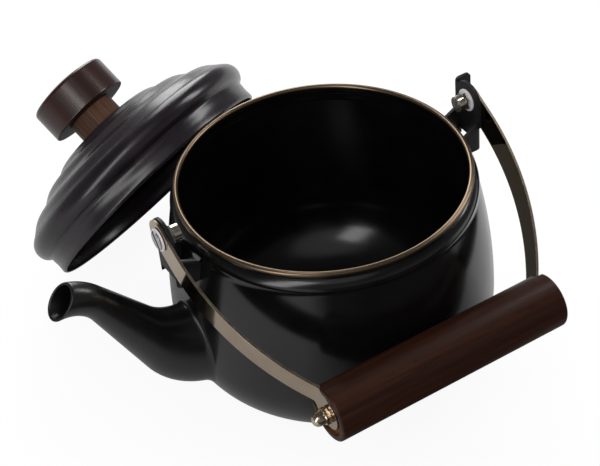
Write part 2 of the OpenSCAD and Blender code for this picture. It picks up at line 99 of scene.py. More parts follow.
folded = Matrix.Translation((0, 0, PIVOT_Z)) @ Matrix.Rotation(radians(FOLD), 4, "X")
along_grip = folded @ Matrix.Translation((0, 0, BAIL)) @ Matrix.Rotation(radians(90), 4, "Y")
leaning = (
    Matrix.Rotation(radians(LID_TURN), 4, "Z")
    @ Matrix.Translation((RIM_R + BEAD_R + REST_GAP + SKIRT_R * sin(radians(LEAN)), 0,
                          SKIRT_R * cos(radians(LEAN))))
    @ Matrix.Rotation(radians(90 - LEAN), 4, "Y")
)


# Finishes
def linear(code):
    """An sRGB hex colour as linear RGBA."""
    parts = [int(code[i:i + 2], 16) / 255 for i in (1, 3, 5)]
    return tuple(c / 12.92 if c <= 0.04045 else ((c + 0.055) / 1.055) ** 2.4 for c in parts) + (1,)


def add(tree, kind, inputs=None, **settings):
    """Adds a node with its settings; an input is a value or another node's output."""
    made = tree.nodes.new(kind)
    for name, value in settings.items():
        setattr(made, name, value)
    for name, value in (inputs or {}).items():
        if isinstance(value, bpy.types.NodeSocket):
            tree.links.new(value, made.inputs[name])
        else:
            made.inputs[name].default_value = value
    return made


def start_finish(name, values):
    """A material with these shader values; gives its tree, shader and Object coordinates too."""
    material = bpy.data.materials.new(name)
    material.use_nodes = True
    tree = material.node_tree
    shader = tree.nodes["Principled BSDF"]
    for socket, value in values.items():
        shader.inputs[socket].default_value = value
    return material, tree, shader, add(tree, "ShaderNodeTexCoord").outputs["Object"]


def mottled(tree, shader, spot, low, high, smooth, rough, where):
    """Drives colour and roughness by soft spots of a size in mm."""
    spots = add(tree, "ShaderNodeTexNoise", {"Vector": where, "Scale": 1000 / spot, "Detail": 4.0})
    share = add(tree, "ShaderNodeMapRange",
                {"Value": spots.outputs[0], "From Min": 0.3, "From Max": 0.7}).outputs[0]
    tone = add(tree, "ShaderNodeMix", {0: share, 6: linear(low), 7: linear(high)}, data_type="RGBA")
    gloss = add(tree, "ShaderNodeMapRange", {"Value": share, "To Min": smooth, "To Max": rough})
    tree.links.new(tone.outputs[2], shader.inputs["Base Color"])
    tree.links.new(gloss.outputs[0], shader.inputs["Roughness"])


def ripple(tree, shader, wave, height, where):
    """Gives the surface a fine relief: waves of a length and height in mm."""
    waves = add(tree, "ShaderNodeTexNoise", {"Vector": where, "Scale": 1000 / wave, "Detail": 2.0})
    relief = add(tree, "ShaderNodeBump",
                 {"Strength": 1.0, "Distance": height * MM, "Height": waves.outputs[0]})
    tree.links.new(relief.outputs[0], shader.inputs["Normal"])


# Vitreous enamel fired on pressed steel: a glassy near-black coat whose reflections are soft
# and slightly wavy, a shade greyer where the coat is thin.
enamel, tree, shader, place = start_finish("black vitreous enamel", {"IOR": 1.5})
mottled(tree, shader, 14, "#060606", "#0b0b0b", 0.15, 0.21, place)
ripple(tree, shader, 5, 0.004, place)

# The spout's coat is thinner and duller: its highlights are broad and weak.
spout_enamel, tree, shader, place = start_finish("dull black enamel", {"IOR": 1.5})
mottled(tree, shader, 12, "#080808", "#0e0e0e", 0.27, 0.35, place)
ripple(tree, shader, 5, 0.004, place)

# The lid's enamel: the same black over turned steel, satin, with faint broken rings
# about its axis.
lid_enamel, tree, shader, place = start_finish("satin black enamel", {"IOR": 1.5})
mottled(tree, shader, 14, "#161116", "#1f191e", 0.23, 0.3, place)
spot, turn, _ = leaning.decompose()
level = add(tree, "ShaderNodeMapping",
            {"Vector": place, "Location": spot * MM, "Rotation": turn.to_euler(),
             "Scale": (MM, MM, 1000.0)}, vector_type="TEXTURE")
radius = add(tree, "ShaderNodeVectorMath", {0: level.outputs[0]}, operation="LENGTH")
out = add(tree, "ShaderNodeCombineXYZ", {"Z": radius.outputs["Value"]})
around = add(tree, "ShaderNodeVectorMath", {0: level.outputs[0]}, operation="NORMALIZE")
# one unit of the pattern is 1 mm outwards and a seventh of a radian round the lid; the rings are
# about 1.7 mm wide, coarser than real turning marks so that they show
along = add(tree, "ShaderNodeVectorMath",
            {0: around.outputs[0], 1: (7.0, 7.0, 0.0), 2: out.outputs[0]},
            operation="MULTIPLY_ADD")
rings = add(tree, "ShaderNodeTexNoise", {"Vector": along.outputs[0], "Scale": 0.6, "Detail": 3.0})
relief = add(tree, "ShaderNodeBump",
             {"Strength": 1.0, "Distance": 0.09 * MM, "Height": rings.outputs[0]})
tree.links.new(relief.outputs[0], shader.inputs["Normal"])

# The same enamel sprayed thinly on the folded brackets: charcoal, satin, with a fine grain.
satin_enamel, tree, shader, place = start_finish(
    "satin charcoal enamel", {"IOR": 1.5, "Specular IOR Level": 0.12})
mottled(tree, shader, 6, "#1a1a1c", "#242427", 0.38, 0.48, place)
ripple(tree, shader, 0.9, 0.002, place)

# Brass strip rolled over the lip and bronzed: warm, satin, a little uneven in tone.
rim_brass, tree, shader, place = start_finish("bronzed brass bead", {"Metallic": 1.0})
mottled(tree, shader, 45, "#6c5c4b", "#7b6a57", 0.28, 0.34, place)

# Brass straps with a polished antique plating: a tan mirror with faint rolling marks.
strap_brass, tree, shader, place = start_finish("antique brass plating", {"Metallic": 1.0})
mottled(tree, shader, 9, "#a6937c", "#b09d86", 0.05, 0.09, place)
ripple(tree, shader, 14, 0.002, place)

# The straps' sheared edges: the same plating over a rougher cut, darker and dull.
edge_brass, tree, shader, place = start_finish("sheared brass edge", {"Metallic": 1.0})
mottled(tree, shader, 2, "#655c4f", "#7c7263", 0.4, 0.5, place)

# Nickel plating on the nuts: bright and slightly warm, with handling haze.
nickel, tree, shader, place = start_finish("nickel plated steel", {"Metallic": 1.0})
mottled(tree, shader, 3, "#cfc8b8", "#e2dcd0", 0.16, 0.24, place)

# Zinc on the pivot bolts: cooler and greyer, a soft shine.
zinc, tree, shader, place = start_finish("zinc plated steel", {"Metallic": 1.0})
mottled(tree, shader, 2.5, "#a9a8ac", "#bfbec3", 0.24, 0.34, place)

# The bolts' slots are painted dark and matt: painted shade that stands in for the shadow down in
# the narrow slots.
slot_shade, tree, shader, place = start_finish(
    "painted slot shade", {"IOR": 1.5, "Specular IOR Level": 0.05})
mottled(tree, shader, 1, "#121214", "#1d1d20", 0.7, 0.8, place)

# Brass cap nuts on the grip's rod: plated, a pale champagne with softened highlights.
cap_brass, tree, shader, place = start_finish("champagne plated brass", {"Metallic": 1.0})
mottled(tree, shader, 1.6, "#b9a994", "#cfc1ad", 0.18, 0.28, place)

# Punched nylon washers: milky, matt, faintly uneven.
nylon, tree, shader, place = start_finish("natural nylon", {"IOR": 1.53})
mottled(tree, shader, 2, "#cfccd2", "#dedce0", 0.42, 0.52, place)


def wood(name, seat, grain, dark, light, pores, smooth, rough, gloss_level):
    """Turned hardwood with its grain along the local Z of its seat; grain is its width in mm."""
    material, tree, shader, place = start_finish(
        name, {"IOR": 1.5, "Specular IOR Level": gloss_level})
    spot, turn, _ = seat.decompose()
    # one unit of the pattern is one grain line wide and 30 of them long
    fibres = add(tree, "ShaderNodeMapping",
                 {"Vector": place, "Location": spot * MM, "Rotation": turn.to_euler(),
                  "Scale": (grain * MM, grain * MM, 30 * grain * MM)}, vector_type="TEXTURE")
    lines = add(tree, "ShaderNodeTexNoise",
                {"Vector": fibres.outputs[0], "Scale": 0.5, "Detail": 5.0, "Roughness": 0.65,
                 "Distortion": 0.4})
    bands = add(tree, "ShaderNodeTexNoise",
                {"Vector": fibres.outputs[0], "Scale": 0.13, "Detail": 2.0})
    both = add(tree, "ShaderNodeMix", {0: 0.45, 2: lines.outputs[0], 3: bands.outputs[0]})
    share = add(tree, "ShaderNodeMapRange",
                {"Value": both.outputs[0], "From Min": 0.36, "From Max": 0.64}).outputs[0]
    tone = add(tree, "ShaderNodeMix", {0: share, 6: linear(dark), 7: linear(light)},
               data_type="RGBA")
    # pores: dark flecks a fifth of a grain line wide, drawn a little coarser to show
    flecks = add(tree, "ShaderNodeTexNoise",
                 {"Vector": fibres.outputs[0], "Scale": 2.2, "Detail": 2.0})
    open_pore = add(tree, "ShaderNodeMapRange",
                    {"Value": flecks.outputs[0], "From Min": 0.6, "From Max": 0.7, "To Max": 0.7})
    stained = add(tree, "ShaderNodeMix",
                  {0: open_pore.outputs[0], 6: tone.outputs[2], 7: linear(pores)}, data_type="RGBA")
    gloss = add(tree, "ShaderNodeMapRange", {"Value": share, "To Min": rough, "To Max": smooth})
    relief = add(tree, "ShaderNodeBump",
                 {"Strength": 1.0, "Distance": -0.012 * MM, "Height": open_pore.outputs[0]})
    tree.links.new(stained.outputs[2], shader.inputs["Base Color"])
    tree.links.new(gloss.outputs[0], shader.inputs["Roughness"])
    tree.links.new(relief.outputs[0], shader.inputs["Normal"])
    return material


# Stained and oiled hardwood: almost black-brown on the grip, redder on the knob; the recesses in
# the grip's ends are left raw, the knob's underside is matt, and the neck has less stain, so its
# grain shows.
grip_wood = wood("dark stained hardwood grip", along_grip, 1.0, "#210c05", "#341a0e", "#140703",
                 0.36, 0.44, 0.18)
knob_wood = wood("dark stained hardwood knob", leaning, 1.0, "#1f0b05", "#33150f", "#150704",
                 0.25, 0.31, 0.6)
under_wood = wood("unpolished hardwood underside", leaning, 1.0, "#1e0c07", "#2e170f", "#120603",
                  0.5, 0.6, 0.2)
recess_wood = wood("raw hardwood recess", along_grip, 0.8, "#3d2817", "#6a4626", "#2b1a0e",
                   0.6, 0.7, 0.2)
neck_wood = wood("oiled hardwood neck", leaning, 0.8, "#28140b", "#664530", "#1a0d07",
                 0.42, 0.56, 0.2)


# Turned pieces: an outline is swept round a circle, the hub, and its radii are counted from there
HUB = 40
turning = bpy.data.node_groups.new("turned piece", "GeometryNodeTree")
turning.interface.new_socket("Geometry", in_out="INPUT", socket_type="NodeSocketGeometry")
turning_inputs = {
    name: turning.interface.new_socket(name, in_out="INPUT", socket_type=kind).identifier
    for name, kind in (("Segments", "NodeSocketInt"), ("Hub radius", "NodeSocketFloat"),
                       ("Finish", "NodeSocketMaterial"))
}
turning.interface.new_socket("Geometry", in_out="OUTPUT", socket_type="NodeSocketGeometry")
asked = add(turning, "NodeGroupInput").outputs
way = add(turning, "GeometryNodeCurvePrimitiveCircle",
          {"Resolution": asked["Segments"], "Radius": asked["Hub radius"]})
upright = add(turning, "GeometryNodeSetCurveNormal", {"Curve": way.outputs[0]}, mode="Z_UP")
profile_curve = add(turning, "GeometryNodeMeshToCurve", {"Mesh": asked["Geometry"]})
swept = add(turning, "GeometryNodeCurveToMesh",
            {"Curve": upright.outputs[0], "Profile Curve": profile_curve.outputs[0]})
closed = add(turning, "GeometryNodeMergeByDistance",
             {"Geometry": swept.outputs[0], "Distance": MERGE})
smooth = add(turning, "GeometryNodeSetShadeSmooth", {"Geometry": closed.outputs[0]})
real = add(turning, "GeometryNodeRealizeInstances", {"Geometry": smooth.outputs[0]})
painted = add(turning, "GeometryNodeSetMaterial",
              {"Geometry": real.outputs[0], "Material": asked["Finish"]})
add(turning, "NodeGroupOutput", {0: painted.outputs[0]})


# Making meshes
def new_object(name, data):
    """An object in the scene, at the origin."""
    made = bpy.data.objects.new(name, data)
    bpy.context.scene.collection.objects.link(made)
    return made


def bake(piece):
    """Turns the piece's modifiers into plain mesh."""
    result = piece.evaluated_get(bpy.context.evaluated_depsgraph_get())
    mesh = bpy.data.meshes.new_from_object(result)
    piece.modifiers.clear()
    piece.data = mesh
    mesh.name = piece.name
    return piece


def outward(piece):
    """Merges doubles and turns every face outwards."""
    shape = bmesh.new()
    shape.from_mesh(piece.data)
    bmesh.ops.remove_doubles(shape, verts=shape.verts, dist=MERGE)
    bmesh.ops.recalc_face_normals(shape, faces=shape.faces)
    shape.to_mesh(piece.data)
    shape.free()
    return piece


def scaled(seat):
    """A seat in mm as a transform in metres."""
    made = seat.copy()
    made.translation = seat.translation * MM
    return made


def turned(name, outline, material, seat=Matrix(), ring=False, segments=256):
    """Turns an outline of (radius, height) about the seat's Z; ring closes the outline."""
    count = len(outline)
    edges = [(i, (i + 1) % count) for i in range(count if ring else count - 1)]
    sketch = bpy.data.meshes.new(name)
    sketch.from_pydata([((r - HUB) * MM, -z * MM, 0) for r, z in outline], edges, [])
    piece = new_object(name, sketch)
    turn = piece.modifiers.new("turning", "NODES")
    turn.node_group = turning
    turn[turning_inputs["Segments"]] = segments
    turn[turning_inputs["Hub radius"]] = HUB * MM
    turn[turning_inputs["Finish"]] = material
    bake(piece)
    piece.data.transform(scaled(seat))
    return outward(piece)


def lofted(name, rings, ring=False):
    """A skin over rings of points; ring joins the last to the first, otherwise the ends close."""
    count = len(rings[0])
    points = [tuple(p * MM) for r in rings for p in r]
    faces = []
    for k in range(len(rings) if ring else len(rings) - 1):
        a, b = k * count, (k + 1) % len(rings) * count
        faces += [(a + j, a + (j + 1) % count, b + (j + 1) % count, b + j) for j in range(count)]
    if not ring:
        last = (len(rings) - 1) * count
        faces += [tuple(range(count))[::-1], tuple(last + j for j in range(count))]
    mesh = bpy.data.meshes.new(name)
    mesh.from_pydata(points, [], faces)
    return outward(new_object(name, mesh))


def cut(piece, shape):
    """Cuts a closed shape out of the piece."""
    mesh = bpy.data.meshes.new("cutter")
    shape.to_mesh(mesh)
    shape.free()
    cutter = new_object("cutter", mesh)
    knife = piece.modifiers.new("cut", "BOOLEAN")
    knife.object = cutter
    knife.solver = "EXACT"
    bake(piece)
    bpy.data.objects.remove(cutter)
    return piece


def round_bar(radius, length, x, z, segments):
    """A round bar along X with its middle at (x, 0, z), to cut a hole with."""
    shape = bmesh.new()
    seat = Matrix.Translation((x * MM, 0, z * MM)) @ Matrix.Rotation(pi / 2, 4, "Y")
    bmesh.ops.create_cone(shape, cap_ends=True, segments=segments, radius1=radius * MM,
                          radius2=radius * MM, depth=length * MM, matrix=seat)
    return shape


def edges_by_angle(piece, angle):
    """Smooth faces with edges sharper than the angle kept crisp."""
    piece.data.shade_smooth()
    piece.data.set_sharp_from_angle(angle=radians(angle))
    return piece


def second_finish(piece, material, on):
    """Gives a second material to the faces that a test picks."""
    piece.data.materials.append(material)
    for face in piece.data.polygons:
        face.material_index = int(on(face))


def arc(centre, radius, first, last, count):
    """Points of an arc, angles in degrees."""
    turns = [radians(first + (last - first) * i / count) for i in range(count + 1)]
    return [(centre[0] + radius * cos(a), centre[1] + radius * sin(a)) for a in turns]


def curve(a, corner, b, count):
    """A soft corner from a to b."""
    a, corner, b = Vector(a), Vector(corner), Vector(b)
    return [tuple(a * (1 - s) ** 2 + corner * 2 * s * (1 - s) + b * s * s)
            for s in (i / count for i in range(count + 1))]


def eased_outline(corners, ease, count=4):
    """A closed outline whose corners are rounded, with a point close to each arc's ends so that
    the flats stay flat."""
    made = []
    for i, corner in enumerate(corners):
        here = Vector(corner)
        back = (Vector(corners[i - 1]) - here).normalized()
        on = (Vector(corners[(i + 1) % len(corners)]) - here).normalized()
        reach = ease / tan(back.angle(on) / 2)
        start, end = here + back * reach, here + on * reach
        made.append(tuple(start + back * FLAT_HOLD))
        made += curve(start, here, end, count)
        made.append(tuple(end + on * FLAT_HOLD))
    return made


def bow(a, b, sag, count):
    """A shallow curve from a to b that swells by sag to the right of its way."""
    way = Vector(b) - Vector(a)
    side = Vector((way[1], -way[0])).normalized()
    made = []
    for i in range(count + 1):
        s = i / count
        made.append(tuple(Vector(a) + way * s + side * (sag * 4 * s * (1 - s))))
    return made


# Pot
def pot_skin(inset):
    """One skin of the pot, from the middle of the base up to the lip."""
    flat = [(BASE_R * i / 6, inset) for i in range(6)]
    heel = [(BASE_R + (BELLY_R - inset - BASE_R) * sin(a), BELLY_Z - (BELLY_Z - inset) * cos(a))
            for a in (pi / 2 * i / 36 for i in range(37))]
    heights = [BELLY_Z + (CREASE_Z - CREASE_RUN - BELLY_Z) * i / 40 for i in range(1, 41)]
    wall = [(belly_at(z) - inset, z) for z in heights]
    collar = bow((CREASE_R - inset, CREASE_Z + SHEET / 4), (RIM_R + SHEET / 2 - inset, LIP_Z),
                 COLLAR_SWELL, 20)
    # the enamel fills the crease a little
    collar = collar[3:]
    crease = curve(wall[-1], (CREASE_R - inset, CREASE_Z), collar[0], 10)[1:-1]
    return flat + heel + wall + crease + collar


lip = [(RIM_R + SHEET / 2, LIP_TOP), (RIM_R - SHEET / 2, LIP_TOP)]
pot = turned("pot_shell", pot_skin(0) + lip + pot_skin(SHEET)[::-1], enamel)
# the opening into the spout
cut(pot, round_bar(PASSAGE_R, PASSAGE_LEN, PASSAGE_X, ROOT_Z, 96))
edges_by_angle(pot, 50)

# the strip's two edges meet in a fine seam along the top of the bead
bead = []
for degree in range(0, 360, 5):
    reach = BEAD_R - BEAD_TRIM - SEAM_DEEP * exp(-((degree - SEAM_AT) / SEAM_WIDE) ** 2)
    bead.append((RIM_R + reach * cos(radians(degree)), RIM_Z + reach * sin(radians(degree))))
rim = turned("rim_bead", bead, rim_brass, ring=True, segments=768)


# Spout
def spout_line(foot_z, start, root_bend, slope, run, lip_bend, end, counts):
    """Points of one side line of the spout: a bend, a straight run and a bend back."""
    def bend(radius, first, last):
        a, b = radians(first), radians(last)
        return Vector((sin(a) - sin(b), cos(a) - cos(b))) * radius

    foot = Vector((-belly_at(foot_z) - SEAT_GAP, foot_z))
    knee = foot + bend(root_bend, start, slope)
    ahead = Vector((-cos(radians(slope)), sin(radians(slope))))
    throat = knee + ahead * run
    roots, runs, lips = counts
    return ([foot + bend(root_bend, start, start + (slope - start) * k / roots)
             for k in range(roots + 1)]
            + [knee + ahead * (run * k / runs) for k in range(1, runs + 1)]
            + [throat - bend(lip_bend, slope, slope + (end - slope) * k / lips)
               for k in range(1, lips + 1)])


# points round the spout, and rings along its root bend, run and lip bend
ROUND, COUNTS = 72, (36, 20, 30)
upper = spout_line(ROOT_Z + ROOT_RISE, *UPPER_LINE, COUNTS)
lower = spout_line(ROOT_Z - ROOT_RISE, *LOWER_LINE, COUNTS)
half_widths = [SIDES[0]]
for first, last, count in zip(SIDES, SIDES[1:], COUNTS):
    half_widths += [first + (last - first) * k / count for k in range(1, count + 1)]


def on_pot(y, z, off):
    """The point of the pot's front outside at (y, z), off from its surface."""
    return Vector((-sqrt(belly_at(z) ** 2 - y * y) - off, y, z))


def spout_rings(inset):
    """Rings of one skin of the spout, from the pot to the mouth; the first is shifted on to the
    pot, and the root bend takes the shift up."""
    rings, shifts = [], []
    for k, (top, low, side) in enumerate(zip(upper, lower, half_widths)):
        middle, half = (top + low) / 2, (top - low) / 2
        ring = []
        for j in range(ROUND):
            t = 2 * pi * j / ROUND
            flat = middle + half * ((1 - inset / half.length) * cos(t))
            point = Vector((flat[0], (side - inset) * sin(t), flat[1]))
            if k == 0:
                shifts.append(on_pot(point[1], point[2], SEAT_GAP)[0] - point[0])
            point[0] += shifts[j] * max(0, 1 - k / COUNTS[0])
            ring.append(point)
        rings.append(ring)
    return rings


skin, lining = spout_rings(0), spout_rings(SHEET)

# the enamel runs in a small fillet from the spout on to the pot
FILLET_RING = 3
fillet = []
for s in (i / 5 for i in range(6)):
    ring = []
    for j in range(ROUND):
        foot, joins = skin[0][j], skin[FILLET_RING][j]
        t = 2 * pi * j / ROUND
        reach = (joins - foot).length
        spread = on_pot(foot[1] + reach * sin(t), foot[2] + reach * cos(t), -FILLET_SINK)
        ring.append(spread * (1 - s) ** 2 + foot * 2 * s * (1 - s) + joins * s * s)
    fillet.append(ring)

# the mouth's edge is rounded
pour = radians((UPPER_LINE[-1] + LOWER_LINE[-1]) / 2)
ahead = Vector((-cos(pour), 0, sin(pour)))
edge = []
for a in (pi * i / 6 for i in range(1, 6)):
    edge.append([(o + i) / 2 + (o - i) / 2 * cos(a) + ahead * ((o - i).length / 2 * sin(a))
                 for o, i in zip(skin[-1], lining[-1])])

spout = edges_by_angle(
    lofted("spout_tube", fillet + skin[FILLET_RING + 1:] + edge + lining[::-1], ring=True), 60)
spout.data.materials.append(spout_enamel)


# Lid
def dome(r):
    """Height of the lid's outside at radius r."""
    ridged = r > RIDGE_R - RIDGE_RUN * RIDGE_STEP
    wave = cos(2 * pi * (r - RIDGE_R) / RIDGE_STEP) if ridged else 0
    return CROWN_H - DOME_FALL * (r / RIDGE_R) ** 2 + RIDGE_H * wave


SEAT_R = NECK_R + LEDGE
SEAT_H = dome(SEAT_R)
DISC_H = SEAT_H + NECK_LEN
HOLE_R = SCREW_D / 2 + SEAT_GAP


def lid_skin(inset):
    """One skin of the lid, from the skirt's edge up to the screw's hole."""
    skirt, middle = SKIRT_R - inset, ROLL_R - SHOULDER_R
    edge_r = middle + (SHOULDER_R + LID_T) * cos(radians(SHOULDER_TURN)) - LID_T / 2
    wide, tall, steep = ROLL_R - SKIRT_R, ROLL_H - SKIRT_H - inset, radians(ROLL_TURN)
    roll = [(skirt + wide * cos(a), ROLL_H - tall * sin(a))
            for a in (radians(ROLL_TURN * (1 - i / 20)) for i in range(21))]
    # a small hollow leads from the skirt into the roll
    drop = (roll[0][0] - SKIRT_R + inset) * tall * cos(steep) / (wide * sin(steep))
    foot = roll[0][1] - drop
    top = foot - HOLLOW_RUN
    made = [(skirt - SKIRT_HOLLOW * sin(pi * s) ** 2, CURL_R + (top - CURL_R) * s)
            for s in (i / 14 for i in range(1, 14))]
    made += curve((skirt, top), (skirt, foot), roll[0], 8)[:-1] + roll
    made += arc((middle, ROLL_H), SHOULDER_R - inset, 0, SHOULDER_TURN, 20)[1:]
    for r in (edge_r + (SEAT_R - edge_r) * i / 90 for i in range(91)):
        made.append((r, dome(r) - inset))
    return made + [(r, SEAT_H - inset) for r in (10, 6, HOLE_R)]


# the skirt's edge is curled inwards
curl_mid = (SKIRT_R - CURL_R, CURL_R)
curl_tip = arc(curl_mid, CURL_R - LID_T / 2, CURL_END, CURL_END, 1)[0]
skirt_edge = (arc(curl_mid, CURL_R - LID_T, 0, CURL_END, 5)[:-1]
              + arc(curl_tip, LID_T / 2, CURL_END - 180, CURL_END, 8)
              + arc(curl_mid, CURL_R, CURL_END, 0, 10)[1:])
lid = turned("lid_shell_dressed", skirt_edge + lid_skin(0) + lid_skin(LID_T)[::-1], lid_enamel,
             leaning, ring=True)
edges_by_angle(lid, 50)

at_neck = leaning @ Matrix.Translation((0, 0, SEAT_H))
neck_outline = eased_outline(
    [(HOLE_R, 0), (NECK_R, 0), (NECK_R, NECK_LEN), (HOLE_R, NECK_LEN)], 0.25)
neck = turned("knob_spacer", neck_outline, neck_wood, at_neck, ring=True, segments=128)

at_disc = leaning @ Matrix.Translation((0, 0, DISC_H))
knob_outline = (
    [(0, 0), (NECK_R / 2, 0), (NECK_R, 0), (KNOB_R - KNOB_LOW_EDGE - EDGE_HOLD, 0)]
    + arc((KNOB_R - KNOB_LOW_EDGE, KNOB_LOW_EDGE), KNOB_LOW_EDGE, -90, 0, 6)
    + [(KNOB_R, KNOB_LOW_EDGE + EDGE_HOLD), (KNOB_R, KNOB_T - KNOB_EDGE - EDGE_HOLD)]
    + arc((KNOB_R - KNOB_EDGE, KNOB_T - KNOB_EDGE), KNOB_EDGE, 0, KNOB_EDGE_TURN, 10)
    + bow((KNOB_R - KNOB_EDGE, KNOB_T), (0, KNOB_T + KNOB_CROWN), KNOB_SWELL, 20)[1:]
)
knob = turned("knob_disc_turned", knob_outline, knob_wood, at_disc, segments=192)
# its underside faces the lid
down = -leaning.col[2].to_3d()
second_finish(knob, under_wood, lambda face: face.normal.dot(down) > 0.7)


# Grip
FLOOR_X = GRIP_LEN / 2 - RECESS_DEPTH


def grip_end(reach):
    """Outline of one end of the grip, from the rod's hole over the recess to the outside."""
    return ([(ROD_D / 2 + SEAT_GAP, FLOOR_X), (RECESS_R - RECESS_FILLET, FLOOR_X),
             (RECESS_R, FLOOR_X + RECESS_FILLET)]
            + arc((RECESS_R + RECESS_EASE, reach - RECESS_EASE), RECESS_EASE, 180, 90, 5)
            + arc((GRIP_R - GRIP_EDGE, reach - GRIP_EDGE), GRIP_EDGE, 90, 0, 10)
            + [(GRIP_R, reach - GRIP_EDGE - GRIP_HOLD)])


# the grip sits a little to the rear between its straps
grip = turned("wooden_grip", grip_end(GRIP_LEN / 2 + GRIP_SHIFT)
              + [(r, -x) for r, x in grip_end(GRIP_LEN / 2 - GRIP_SHIFT)[::-1]],
              grip_wood, along_grip, ring=True, segments=160)
notches = bmesh.new()
for end in (-1, 1):
    low = Vector((FLOOR_X, -STRAP_W / 2 - REST_GAP, BAIL - 2 * GRIP_R))
    high = Vector((GRIP_LEN, STRAP_W / 2 + REST_GAP, BAIL - RECESS_R / 2))
    middle, span = (low + high) / 2, high - low
    middle[0] *= end
    seat = scaled(folded @ Matrix.Translation(middle))
    bmesh.ops.create_cube(notches, size=1, matrix=seat @ Matrix.Diagonal((*(span * MM), 1)))
cut(grip, notches)
edges_by_angle(grip, 40)
# the recesses and the rod's hole are left raw
to_grip = scaled(along_grip).inverted()
second_finish(grip, recess_wood,
              lambda face: hypot(*(to_grip @ face.center)[:2]) < (RECESS_R + 0.1) * MM)


# Straps
STRAP_X = EAR_OUT + SIDE_GAP + STRAP_T / 2
BORE_R = BOLT_D / 2 + SIDE_GAP
TAB_X = FLOOR_X + STRAP_T / 2
TAB_START = BAIL - RECESS_R + 1
ARCH_TURN = 2 * atan((STRAP_X - TAB_X) / (TAB_START - STRAP_STRAIGHT))
ARCH_R = (TAB_START - STRAP_STRAIGHT) / sin(ARCH_TURN) - STRAP_BEND_R


def strap_stations(tail):
    """(x, z, angle of the way from upright, half width) along the strap, from its pivot end."""
    made = []
    half = STRAP_W / 2
    for a in (radians(5 + 85 * i / 18) for i in range(19)):
        made.append((STRAP_X, -tail - half * cos(a), 0, half * sin(a)))
    made += [(STRAP_X, STRAP_STRAIGHT * i / 4, 0, half) for i in range(1, 4)]
    for a in (ARCH_TURN * i / 72 for i in range(73)):
        made.append((STRAP_X - ARCH_R + ARCH_R * cos(a), STRAP_STRAIGHT + ARCH_R * sin(a), a, half))
    for a in (ARCH_TURN * (1 - i / 14) for i in range(1, 15)):
        made.append((TAB_X + STRAP_BEND_R - STRAP_BEND_R * cos(a),
                     TAB_START - STRAP_BEND_R * sin(a), a, half))
    made += [(TAB_X, TAB_START + (BAIL - TAB_START) * i / 6, 0, half) for i in range(1, 7)]
    for a in (radians(85 * i / 16) for i in range(1, 17)):
        made.append((TAB_X, BAIL + half * sin(a), 0, half * cos(a)))
    return made


def strap(name, end, tail):
    """A flat strap with rounded edges, bent along its stations and bored for its bolt."""
    rings = []
    for x, z, angle, half in strap_stations(tail):
        out = Vector((cos(angle), 0, sin(angle)))
        thick, ease = STRAP_T / 2, min(STRAP_EASE, half * 0.45)
        section = eased_outline(
            [(thick, half), (-thick, half), (-thick, -half), (thick, -half)], ease, 3)
        ring = []
        for across, along in section:
            point = folded @ (Vector((x, 0, z)) + out * across + Vector((0, along, 0)))
            point[0] *= end
            ring.append(point)
        rings.append(ring)
    bore = round_bar(BORE_R, 4 * STRAP_T, end * STRAP_X, PIVOT_Z, 64)
    made = edges_by_angle(cut(lofted(name, rings), bore), 40)
    made.data.materials.append(strap_brass)
    # faces that look along the pot's side are sheared edges
    second_finish(made, edge_brass, lambda face: abs(face.normal[0]) < 0.6)
    return made


front_strap = strap("front_strap_bent", -1, FRONT_TAIL)
rear_strap = strap("rear_strap_bent", 1, 0)


# Washers
def washer(name, x, end):
    """A flat ring with eased edges on the pivot's axis."""
    seat = Matrix.Translation((end * x, 0, PIVOT_Z)) @ Matrix.Rotation(radians(90), 4, "Y")
    bore, edge, thick = BOLT_D / 2 + SEAT_GAP, WASHER_D / 2, WASHER_T / 2
    outline = eased_outline([(bore, -thick), (edge, -thick), (edge, thick), (bore, thick)], 0.2, 3)
    return turned(name, outline, nylon, seat, ring=True, segments=96)


OUTER_X = STRAP_X + STRAP_T / 2 + SIDE_GAP + WASHER_T / 2
INNER_X = EAR_OUT - EAR_T - WASHER_T / 2


# Cap nuts
def cap_nut(name, end):
    """A hexagon chamfered at both ends, then a round nose."""
    rings = []
    bare = CAP_LEN - CAP_R
    nose = [(CAP_R, CAP_HEX), (CAP_R, bare)]
    nose += [(CAP_R * cos(a), bare + CAP_R * sin(a))
             for a in (radians(86 * i / 16) for i in range(1, 17))]
    hexagon = [(CAP_FACE_R, 0), (CAP_CORNER_R, CAP_CHAMFER), (CAP_CORNER_R, CAP_HEX - CAP_CHAMFER),
               (CAP_FACE_R, CAP_HEX)]
    for limit, high in hexagon + nose:
        ring = []
        for t in (2 * pi * j / 72 for j in range(72)):
            reach = min(limit, CAP_FLATS / 2 / cos((t + pi / 6) % (pi / 3) - pi / 6))
            point = folded @ Vector((TAB_X + STRAP_T / 2 + high, reach * cos(t),
                                     BAIL + reach * sin(t)))
            point[0] *= end
            ring.append(point)
        rings.append(ring)
    made = edges_by_angle(lofted(name, rings), 25)
    made.data.materials.append(cap_brass)
    return made


